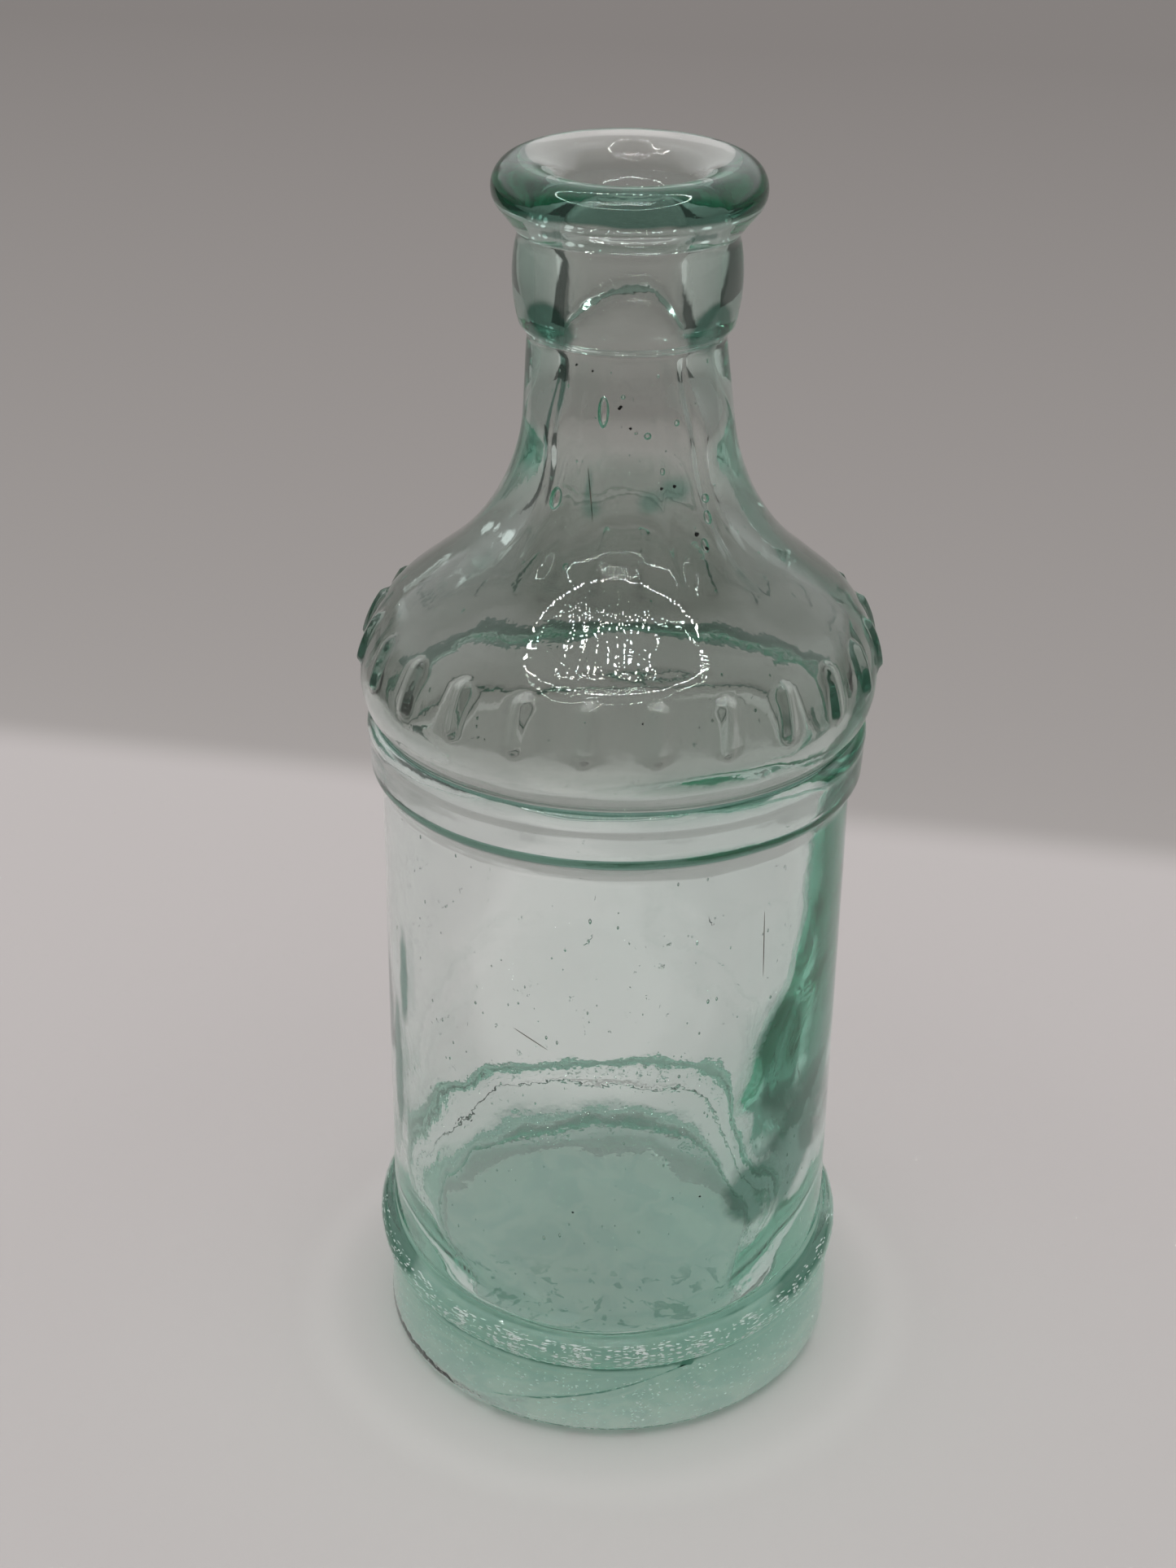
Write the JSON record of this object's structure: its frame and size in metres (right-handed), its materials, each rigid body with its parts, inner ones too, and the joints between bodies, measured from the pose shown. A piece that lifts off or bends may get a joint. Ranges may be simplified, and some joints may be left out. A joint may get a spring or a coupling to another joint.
{
  "type": "pouring ink bottle",
  "caption": "Empty pouring ink bottle in pale aqua glass: round body with beaded foot, ringed and barred shoulder, collared neck and flared pouring lip.",
  "frame": {"origin": "middle of the plane that the bottle stands on", "axes": "+Z along the bottle's axis, towards the mouth"},
  "size_m": [0.059, 0.059, 0.1462],
  "materials": {
    "glass": "glossy pale aqua glass, uneven inside, with seeds and fine scratches"
  },
  "bodies": {
    "root": {"bottle": "glass"}
  },
  "joints": []
}
